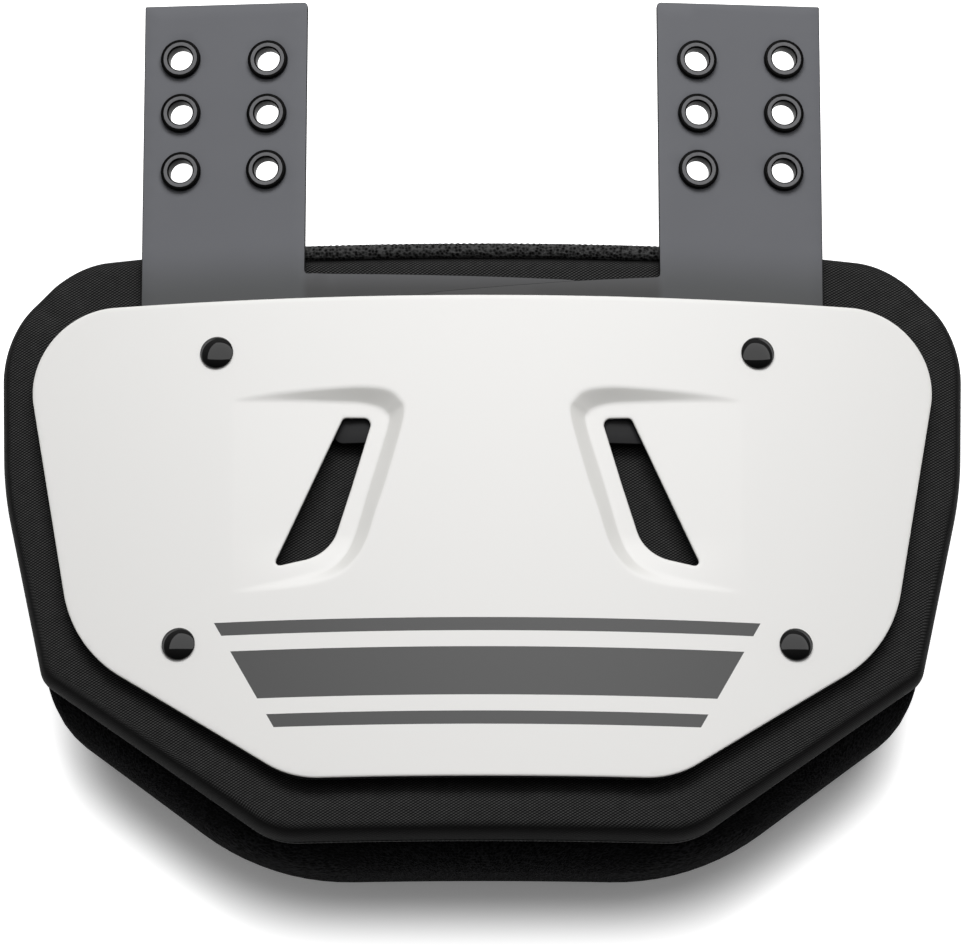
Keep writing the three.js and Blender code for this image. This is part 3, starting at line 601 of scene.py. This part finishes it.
def left_side(points, side):
    """Points of the right half, mirrored onto the left scoop's layout."""
    local = points - [DETAIL_SHIFT, 0]
    return local * [side, 1]


def by_scoop(p, outer_x):
    """Which points lie in a rectangle that holds the left scoop."""
    return (p[:, 0] > outer_x) & (p[:, 0] < -22) & (p[:, 1] > -40) & (p[:, 1] < 34)


def scoop_depth(points):
    depth = np.zeros(len(points))
    for side in (1, -1):
        p = left_side(points, side)
        box = by_scoop(p, -86)
        q = p[box]
        to_rim = near(q, rim, closed=False)
        to_foot = near(q, foot, closed=False)
        floor = smooth(-84, -31, q[:, 0]) * 0.35 + np.clip((q[:, 0] + 82) / 50, 0, 1) * 0.65
        share = np.where(inside(q, foot), 1.0, to_rim / (to_rim + to_foot + 1e-9))
        share = np.where(inside(q, rim) | inside(q, foot), facet(share), 0)
        shallow = 1 - 0.55 * smooth(-18, -36, q[:, 1])
        depth[box] += SCOOP_DEPTH * np.clip(floor, 0, 1) * shallow * share
    return depth


def near_scoop(points):
    """True where the plate needs finer triangles."""
    found = np.zeros(len(points), bool)
    for side in (1, -1):
        found |= by_scoop(left_side(points, side), -84)
    return found


def plate_face(p):
    return -scoop_depth(p)


def plate_wall(p):
    return PLATE_THICK - (PLATE_THICK - SCOOP_WALL) * scoop_depth(p) / SCOOP_DEPTH


outline, _ = rounded(whole(PLATE), 1.0 if fine else 2.5)
slots = [slot + [DETAIL_SHIFT, 0], slot * [-1, 1] + [DETAIL_SHIFT, 0]]
flat, depth, triangles = tiled(outline, slots, step, [0, 0.06, 0.18, 0.35, 0.6], near_scoop)
sunk = scoop_depth(flat)
plate = plate_like("moulded_plate", flat, depth, triangles, plate_face, plate_wall, radius=0.6)
finish_piece(plate, "plate", "plate_plastic", "shell_plate")
print("deepest scoop, mm:", sunk.max().round(2))

# %% [markdown]
# ## The straps
# Each strap is one L-shaped sheet: a wide base behind the plate and a tab that rises a little as it
# leaves the plate's edge. The tab is flat between its edges, as in the solids.

# %% Straps
STRAP_HOLE = 4.9        # radius of the hole that an eyelet's barrel passes


def strap_places(side):
    """Turns a strap's flat layout into the frame. Between the tab's edges it is flat."""
    def place(layout):
        x = layout[:, 0]
        edge_in, edge_out = layout.copy(), layout.copy()
        edge_in[:, 0], edge_out[:, 0] = side * TAB_IN, side * TAB_OUT
        share = np.clip((side * x - TAB_IN) / (TAB_OUT - TAB_IN), 0, 1)[:, None]
        on_tab = bend(edge_in) * (1 - share) + bend(edge_out) * share
        return np.where((side * x > TAB_IN)[:, None], on_tab, bend(layout))
    return place


def eyelet_places(side):
    """Centre of each eyelet of one tab, in the frame, from the solids."""
    word = "left" if side < 0 else "right"
    found = {}
    for name in sorted(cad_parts):
        if name.startswith(f"grommet_{word}"):
            low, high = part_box(name)
            found[name] = (low + high) / 2
    return found


def build_strap(side, corners):
    shape, _ = rounded(corners, 1.2 if fine else 3.0)
    drop = STRAP_DROP if side < 0 else 0.0

    def top(p):
        sunk = drop * smooth(-CROSSING - 8.5, -CROSSING - 0.8, p[:, 0])
        return STRAP_TOP - sunk + TAB_SLOPE * np.maximum(0, p[:, 1] - TAB_FOOT)

    def thick(p):
        return np.full(len(p), STRAP_THICK)

    place = strap_places(side)
    probe = np.array([(side * x, y) for x in np.linspace(TAB_IN, TAB_OUT, 60)
                      for y in np.linspace(95, 160, 66)])
    world = place(np.column_stack([probe, top(probe) - STRAP_THICK / 2]))
    holes = []
    turn = np.linspace(0, 2 * math.pi, 33)[:-1]
    for centre in eyelet_places(side).values():
        middle = probe[np.argmin(np.linalg.norm(world[:, :2] - [centre.x, centre.y], axis=1))]
        holes.append(middle + STRAP_HOLE * np.stack([np.cos(turn), np.sin(turn)], 1))
    flat, depth, triangles = tiled(shape, holes, 4.0 if fine else 8.0, [0, 0.12, 0.35])
    word = "left" if side < 0 else "right"
    piece = plate_like(f"{word}_vinyl_strap", flat, depth, triangles, top, thick, 0.35, place)
    return finish_piece(piece, "strap", "strap_plastic", f"{word}_strap")


for side, corners in ((-1, LEFT_STRAP), (1, RIGHT_STRAP)):
    build_strap(side, corners)

# %% [markdown]
# ## Eyelets and rivets
# Both are turned parts, so a short profile spun round an axis makes them. The profile's radius and
# height are in millimetres.

# %% Turned parts
def turned(name, profile, centre, axis, segments=64, closed=True):
    angles = np.linspace(0, 2 * math.pi, segments + 1)[:-1]
    shape = np.array(profile, float)
    points = np.array([(r * math.cos(a), r * math.sin(a), z) for r, z in shape for a in angles])
    count, rows = segments, len(shape)
    i = np.arange(count)
    j = (i + 1) % count
    faces = []
    for row in range(rows if closed else rows - 1):
        a, b = row * count, ((row + 1) % rows) * count
        faces += np.stack([a + i, a + j, b + j, b + i], 1).tolist()
    if not closed:
        faces += [i.tolist(), (i[::-1] + (rows - 1) * count).tolist()]
    turn = Vector((0, 0, 1)).rotation_difference(Vector(axis)).to_matrix()
    world = np.array([tuple(turn @ Vector(p) * 0.001 + Vector(centre)) for p in points])
    return face_out(make(name, world, faces, points))


def tab_normal(side):
    place = strap_places(side)
    flat = np.array([(side * TAB_IN, 70, 0.0), (side * TAB_OUT, 70, 0.0), (side * TAB_IN, 170, 7.0)])
    a, b, c = place(flat)
    way = np.cross(b - a, c - a)
    return Vector(way / np.linalg.norm(way)) * (1 if way[2] > 0 else -1)


def eyelet_profile():
    bore, barrel, flange, seat, face, back = 3.9, 4.6, 6.5, 1.25, 2.8, -2.15
    lip = np.linspace(0, math.pi / 2, 5)
    ring = [(bore, back + 0.3), (bore, face - 0.7)]
    ring += [(bore + 0.7 * (1 - math.cos(t)), face - 0.7 + 0.7 * math.sin(t)) for t in lip[1:]]
    ring += [(flange - 0.35 + 0.35 * math.sin(t), face - 0.35 + 0.35 * math.cos(t)) for t in lip]
    ring += [(flange, seat), (barrel, seat), (barrel, -seat), (flange, -seat)]
    ring += [(flange - 0.3 + 0.3 * math.cos(t), back + 0.3 - 0.3 * math.sin(t)) for t in lip]
    ring += [(bore + 0.3 - 0.3 * math.sin(t), back + 0.3 - 0.3 * math.cos(t)) for t in lip[:-1]]
    middle = (face + back) / 2
    return [(r, z - middle) for r, z in ring]


for side in (-1, 1):
    for name, centre in eyelet_places(side).items():
        ring = turned(name.replace("grommet", "eyelet"), eyelet_profile(), centre, tab_normal(side))
        finish_piece(ring, "eyelet", "eyelet_metal", name)


def rivet_profile():
    head, rise, lift = 5.35, 2.2, 0.65
    ball = (head**2 + rise**2) / (2 * rise)
    steep = math.asin(head / ball)
    dome = [(ball * math.sin(t), lift + rise - ball * (1 - math.cos(t)))
            for t in np.linspace(0.02, steep, 18)]
    return dome + [(head, 0.3), (2.4, 0.3), (2.4, -11.0), (3.8, -11.0), (3.8, -12.2)]


Rivet = namedtuple("Rivet", "word x y")
studs = []
for side, word in ((-1, "left"), (1, "right")):
    for rivet in (Rivet("upper", 87.1, 44.0), Rivet("lower", 98.3, -53.9)):
        x = side * rivet.x + DETAIL_SHIFT
        angle = x / ARCH
        axis = (math.sin(angle), 0, math.cos(angle))
        centre = bend(np.array([(x, rivet.y, 0.0)]))[0]
        stud = turned(f"{word}_{rivet.word}_rivet", rivet_profile(), centre, axis, closed=False)
        studs.append(finish_piece(stud, "rivet", "rivet_black", f"rivet_{word}_{rivet.word}"))

# %% [markdown]
# ## The cushions
# Both are stacks of rings. A ring's layout is unrolled along the outline's outward direction, so
# that the cloth pattern keeps its size over the rounded edges. The front cushion's margin is tucked
# in at the seam, widest at its waist, and rolls over to the crest before it sinks to the dish.

# %% Front cushion
TUCK, TUCK_TURN, WAIST, ROLL_OVER = 1.9, 1.2, 0.34, 4.6
INWARD = (6.5, 9.0, 12.0, 15.0, 18.0, 22.0, 27.0)
spacing = 1.6 if fine else 5.0
front, counts = rounded(whole(FRONT), spacing)
back, _ = rounded(whole(BACK), spacing, counts)
softer, _ = rounded([c._replace(r=max(c.r, 34)) for c in whole(FRONT)], spacing, counts)
out = ways_out(front)


def inside_front(distance):
    """The front outline moved inward; its tight corners open out on the way."""
    share = smooth(0.5, 8, distance)
    return inset(front, distance) * (1 - share) + inset(softer, distance) * share


def dish(x):
    return DISH_MIDDLE + (DISH_SIDE - DISH_MIDDLE) * smooth(46, 74, np.abs(x))


top_crest = np.minimum(CREST_TOP, dish(front[:, 0]))
crest = CREST_SIDE + (top_crest - CREST_SIDE) * smooth(0.5, 0.95, out[:, 1])


def ripple(points, size):
    """Soft uneven filling, the same on each run."""
    x, y = points[:, 0], points[:, 1]
    return size * (np.sin(x * 0.113 + 1.3) * np.sin(y * 0.147 + 0.4)
                   + 0.6 * np.sin(x * 0.31 + y * 0.23) + 0.4 * np.sin(x * 0.07 - y * 0.39 + 2.0))


def front_rings():
    rings, cloth = [], []
    wide, high = 1 - math.cos(TUCK_TURN), math.sin(TUCK_TURN)
    lower = [(TUCK * (1 - math.cos(t)) / wide, WAIST * (1 - math.sin(t) / high))
             for t in np.linspace(TUCK_TURN, 0, 6)]
    upper = [(ROLL_OVER * (1 - math.cos(t)), WAIST + (1 - WAIST) * math.sin(t))
             for t in np.linspace(0, math.pi / 2, 12)[1:]]
    for distance, share in lower + upper:
        level = SEAM + (crest - SEAM) * share
        rings.append(np.column_stack([inside_front(distance), level]))
    crest_ring = len(lower) + len(upper) - 1
    for distance in INWARD:
        sinking = smooth(10, 24, distance)
        flat = inside_front(distance)
        level = crest + (dish(flat[:, 0]) - crest) * sinking
        rings.append(np.column_stack([flat, level]))
    last = rings[-1][:, :2]
    for share in np.linspace(0.94, 0.05, 14):
        flat = last * share + [0, CENTRE_Y * (1 - share)]
        rings.append(np.column_stack([flat, dish(flat[:, 0])]))
    under = []
    for share in (0.3, 0.6, 0.85):
        flat = inset(front, TUCK) * share + [0, CENTRE_Y * (1 - share)]
        under.append(np.column_stack([flat, np.full(len(flat), SEAM)]))
    rings = under + rings
    anchor = len(under) + crest_ring
    for k, ring in enumerate(rings):
        flat = ring[:, :2]
        if len(under) <= k < anchor:
            steps = [np.linalg.norm(rings[n] - rings[n + 1], axis=1) for n in range(k, anchor)]
            flat = rings[anchor][:, :2] + out * np.sum(steps, 0)[:, None]
        cloth.append(np.column_stack([flat, np.zeros(len(flat))]))
    return rings, cloth


def settle_front(points):
    points = points.copy()
    face = points[:, 2] > SEAM + 5
    edge = near(points[:, :2], front)
    points[face, 2] += (ripple(points[:, :2], 0.12) * smooth(1, 8, edge))[face]
    return points


rings, cloth = front_rings()
cushion = finish_piece(loft("woven_front_cushion", rings, cloth, settle_front),
                       "woven", "woven_cover", "front_cushion")

# %% [markdown]
# The back cushion bulges a little past the front panel along its lower edge, and the mesh is drawn
# in at the seam.

# %% Back cushion
Row = namedtuple("Row", "share inset level")
PROFILE = [Row(0.0, TUCK, SEAM - 0.3), Row(0.15, 0.3, SEAM - 1.4), Row(0.5, 0, SEAM - 3.4),
           Row(0.78, 0, SEAM - 6.0), Row(0.97, 0, SEAM - 10.0), Row(1.0, 0, SEAM - 14.0),
           Row(1.0, 0.1, PAD_BACK + 8.5), Row(1.0, 0.8, PAD_BACK + 5.2), Row(1.0, 2.4, PAD_BACK + 2.4),
           Row(1.0, 4.8, PAD_BACK + 0.7), Row(1.0, 8.0, PAD_BACK)]


def back_rings():
    rows = np.array(PROFILE, float)
    places = np.arange(len(rows))
    finer = np.linspace(0, len(rows) - 1, len(rows) * 3)
    rings = []
    for k in finer:
        share, pull, level = (np.interp(k, places, rows[:, c]) for c in range(3))
        flat = inset(front, pull) * (1 - share) + inset(back, pull) * share
        rings.append(np.column_stack([flat, np.full(len(flat), level)]))
    cloth, gone = [], np.zeros(len(front))
    for k, ring in enumerate(rings):
        if k:
            gone = gone + np.linalg.norm(ring - rings[k - 1], axis=1)
        cloth.append(np.column_stack([front + out * gone[:, None], np.zeros(len(front))]))
    first, last = rings[0][:, :2], rings[-1][:, :2]
    head, tail = [], []
    for share in (0.3, 0.65):
        flat = first * share + [0, CENTRE_Y * (1 - share)]
        head.append(np.column_stack([flat, np.full(len(flat), SEAM - 0.3)]))
    for share in np.linspace(0.94, 0.06, 12):
        flat = last * share + [0, CENTRE_Y * (1 - share)]
        tail.append(np.column_stack([flat, np.full(len(flat), PAD_BACK)]))
    far = [np.column_stack([ring[:, :2], np.zeros(len(ring))]) for ring in tail]
    return head + rings + tail, [ring * [1, 1, 0] for ring in head] + cloth + far


rings, cloth = back_rings()
pad = finish_piece(loft("mesh_back_cushion", rings, cloth), "mesh", "mesh_cover", "back_cushion")

# %% [markdown]
# A thin bound edge runs in the seam between the cushions, and a braided roll of mesh closes the top
# edge between the tabs.

# %% Seam edge and top roll
def swept(name, path, ways, radius, sides, level):
    """A cord along a closed flat path: each station is a circle square to the path."""
    count, gone = len(path), 0.0
    points, layout, faces = [], [], []
    for k in range(count):
        if k:
            gone += np.linalg.norm(path[k] - path[k - 1])
        for s in range(sides):
            angle = 2 * math.pi * s / sides
            xy = path[k] + ways[k] * radius * math.cos(angle)
            points.append((xy[0], xy[1], level + radius * math.sin(angle)))
            layout.append((gone, radius * angle, 0))
    for k in range(count):
        for s in range(sides):
            a, b = k * sides + s, k * sides + (s + 1) % sides
            c, d = ((k + 1) % count) * sides + s, ((k + 1) % count) * sides + (s + 1) % sides
            faces.append((a, b, d, c))
    return face_out(make(name, bend(np.array(points)), faces, layout))


edge_tape = swept("seam_edge_tape", inset(front, 0.7), out, 0.45, 10, SEAM + 0.1)
finish_piece(edge_tape, "tape", "piping_cord", "seam_piping")

ROLL_Y, ROLL_LEVEL, ROLL_RADIUS, ROLL_REACH = 81.3, -11.5, 2.5, 66.0
ROLL_END, ROLL_SIDES, BRAID = 2.3, 24, 2.1
stations = np.linspace(-ROLL_REACH, ROLL_REACH, 133 if fine else 40)
turn = np.linspace(0, 2 * math.pi, ROLL_SIDES + 1)[:-1]
rings, cloth = [], []
for x in stations:
    end = np.sqrt(max(0.05, 1 - max(0, (abs(x) - ROLL_REACH + ROLL_END) / ROLL_END) ** 2))
    knots = 1 + 0.05 * np.sin(x * 2 * math.pi / BRAID + 2 * turn)
    radius = ROLL_RADIUS * end * knots
    rings.append(np.column_stack([np.full(ROLL_SIDES, x), ROLL_Y + radius * np.cos(turn),
                                  ROLL_LEVEL + radius * np.sin(turn)]))
    cloth.append(np.column_stack([np.full(ROLL_SIDES, x), ROLL_RADIUS * turn, np.zeros(ROLL_SIDES)]))
roll = finish_piece(loft("braided_top_roll", rings, cloth), "roll", "mesh_cover", "top_mesh_roll")

# %% [markdown]
# ## Floor, light and camera
# The part lies on a white floor that glows, apart from a painted shadow under the pad and below and
# beside it. A wide light stands beyond the tabs and throws the pad's real shadow toward the viewer, and
# the pale surroundings fill in the rest.

# %% Floor
# The floor glows: FLOOR_GLOW in the open, SHADOW_GLOW in its painted shadow; the sizes below, in
# metres, shape that shadow.
FLOOR_REACH, FLOOR_GLOW, SHADOW_GLOW = 3.0, 0.85, 0.12
SIDE_IN, CORNER_REACH, CORNER_BLEND = 0.030, 0.1575, 0.025
SHADOW_STARTS, SHADOW_ENDS = -0.004, 0.019
floor_mesh = bpy.data.meshes.new("white_floor")
corners = [(-FLOOR_REACH, -FLOOR_REACH, 0), (FLOOR_REACH, -FLOOR_REACH, 0),
           (FLOOR_REACH, FLOOR_REACH, 0), (-FLOOR_REACH, FLOOR_REACH, 0)]
floor_mesh.from_pydata(corners, [], [(0, 1, 2, 3)])
floor = bpy.data.objects.new("white_floor", floor_mesh)
bpy.context.scene.collection.objects.link(floor)
floor.location.z = -0.0003


def glowing_floor():
    """White floor that glows, except in a painted shadow under the pad and below and beside it."""
    made = bpy.data.materials.new("glowing_floor_painted_shadow")
    made.use_nodes = True
    tree = made.node_tree
    shader = tree.nodes["Principled BSDF"]
    place = node(tree, "ShaderNodeTexCoord").outputs["Object"]
    x, y, _ = node(tree, "ShaderNodeSeparateXYZ", Vector=place).outputs
    low, high = size_at_start
    # Painted shadow: the glow drops under the pad and in a band below and beside it, shaped by planes
    # along its sides, bottom, top and lower corners.
    aside = maths(tree, "ABSOLUTE", x)
    beyond_side = maths(tree, "SUBTRACT", aside, high[0] - SIDE_IN)
    beyond_bottom = maths(tree, "SUBTRACT", low[1], y)
    beyond_top = maths(tree, "SUBTRACT", y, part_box("back_cushion")[1].y)
    lean = maths(tree, "MULTIPLY_ADD", aside, 0.6, maths(tree, "MULTIPLY", y, -0.8))
    beyond_diagonal = maths(tree, "SUBTRACT", lean, CORNER_REACH)
    away = beyond_side
    for other in (beyond_bottom, beyond_top, beyond_diagonal):
        away = node(tree, "ShaderNodeMath", {"operation": "SMOOTH_MAX"},
                    i0=away, i1=other, i2=CORNER_BLEND).outputs[0]
    share = node(tree, "ShaderNodeMapRange", {"interpolation_type": "SMOOTHSTEP"},
                 Value=away, i1=SHADOW_STARTS, i2=SHADOW_ENDS,
                 i3=SHADOW_GLOW, i4=FLOOR_GLOW).outputs[0]
    tree.links.new(share, shader.inputs["Emission Strength"])
    shader.inputs["Emission Color"].default_value = (1, 1, 1, 1)
    fibre = node(tree, "ShaderNodeTexNoise", Vector=place, Scale=60.0, Detail=2.0)
    speck = maths(tree, "MULTIPLY", fibre.outputs["Fac"], 0.02)
    tree.links.new(blend(tree, speck, (1, 1, 1, 1), (0.98, 0.98, 0.98, 1)), shader.inputs["Base Color"])
    shader.inputs["Roughness"].default_value = 0.9
    shader.inputs["Specular IOR Level"].default_value = 0.0
    return made


floor_mesh.materials.append(glowing_floor())

# %% Light
scene = bpy.context.scene
world = bpy.data.worlds.new("pale_room")
scene.world = world
world.use_nodes = True
tree = world.node_tree
way = node(tree, "ShaderNodeSeparateXYZ", Vector=node(tree, "ShaderNodeTexCoord").outputs["Generated"])
overhead = maths(tree, "MULTIPLY", way.outputs["Z"], 0.5)
toward = maths(tree, "MULTIPLY_ADD", way.outputs["Y"], 0.7, overhead)
share = node(tree, "ShaderNodeMapRange", Value=toward, i1=-0.5, i2=0.8, i3=0.12, i4=1.0).outputs[0]
background = tree.nodes["Background"]
tree.links.new(blend(tree, share, (0, 0, 0, 1), (1, 1, 1, 1)), background.inputs["Color"])
background.inputs["Strength"].default_value = 0.42

Lamp = namedtuple("Lamp", "name x y z wide high power aim_y")
LAMPS = [Lamp("window_beyond_tabs", 0.0, 0.75, 1.10, 1.0, 0.6, 14.0, 0.0),
         Lamp("overhead", 0.35, 0.2, 1.5, 0.9, 0.9, 3.6, 0.0)]
for lamp in LAMPS:
    data = bpy.data.lights.new(lamp.name, "AREA")
    data.shape, data.size, data.size_y, data.energy = "RECTANGLE", lamp.wide, lamp.high, lamp.power
    light = bpy.data.objects.new(lamp.name, data)
    light.location = (lamp.x, lamp.y, lamp.z)
    way = Vector((0, lamp.aim_y, 0.04)) - light.location
    light.rotation_euler = way.to_track_quat("-Z", "Y").to_euler()
    scene.collection.objects.link(light)

# %% Camera
TILT, DISTANCE = math.radians(19.5), 2.4
SENSOR, PHOTO_WIDE, PIXEL = 36.0, 965, 0.0003184       # millimetres, pixels, metres on the plate
target = Vector(bend(np.array([(0, 0, 0.0)]))[0])
ahead = Vector((0, math.sin(TILT), -math.cos(TILT)))
camera_data = bpy.data.cameras.new("camera")
camera = bpy.data.objects.new("camera", camera_data)
camera.location = target - ahead * DISTANCE
camera.rotation_euler = ahead.to_track_quat("-Z", "Y").to_euler()
camera_data.sensor_width = SENSOR
camera_data.lens = SENSOR * (DISTANCE / PIXEL) / PHOTO_WIDE
camera_data.shift_x = 0.25 / PHOTO_WIDE
camera_data.clip_start, camera_data.clip_end = 0.1, 20
scene.collection.objects.link(camera)
scene.camera = camera

# %% [markdown]
# The studs are small domes of black enamel, so they show what is round them. A large dim card hangs
# over them, up and to the right, and a light link keeps it off everything else. A second link keeps
# the two lamps off the studs.

# %% A card for the studs
CARD_WIDE, CARD_HIGH, CARD_RADIANCE = 3.7, 4.0, 2.2
CARD_RIGHT, CARD_UP, CARD_AWAY = 0.95, 1.97, 0.5
card_data = bpy.data.lights.new("card_over_studs", "AREA")
card_data.shape, card_data.size, card_data.size_y = "RECTANGLE", CARD_WIDE, CARD_HIGH
card_data.energy = CARD_RADIANCE * math.pi * CARD_WIDE * CARD_HIGH
card = bpy.data.objects.new("card_over_studs", card_data)
card.rotation_euler = camera.rotation_euler
square = camera.rotation_euler.to_matrix()
card.location = target + square @ Vector((CARD_RIGHT, CARD_UP, CARD_AWAY))
card.visible_diffuse = False
scene.collection.objects.link(card)
group = bpy.data.collections.new("studs")
for stud in studs:
    group.objects.link(stud)
card.light_linking.receiver_collection = group
others = bpy.data.collections.new("all_but_the_studs")
for stud in studs:
    others.objects.link(stud)
for entry in others.collection_objects:
    entry.light_linking.link_state = "EXCLUDE"
for lamp in [thing for thing in scene.objects if thing.type == "LIGHT" and thing != card]:
    lamp.light_linking.receiver_collection = others
scene.view_settings.view_transform = "Standard"
scene.view_settings.look = "None"

# %% [markdown]
# ## Finish
# It prints the size of the solids' box at the start, in millimetres.

# %% Finish
print("size at the start, mm:", [round((b - a) * 1000, 1) for a, b in zip(*size_at_start)])
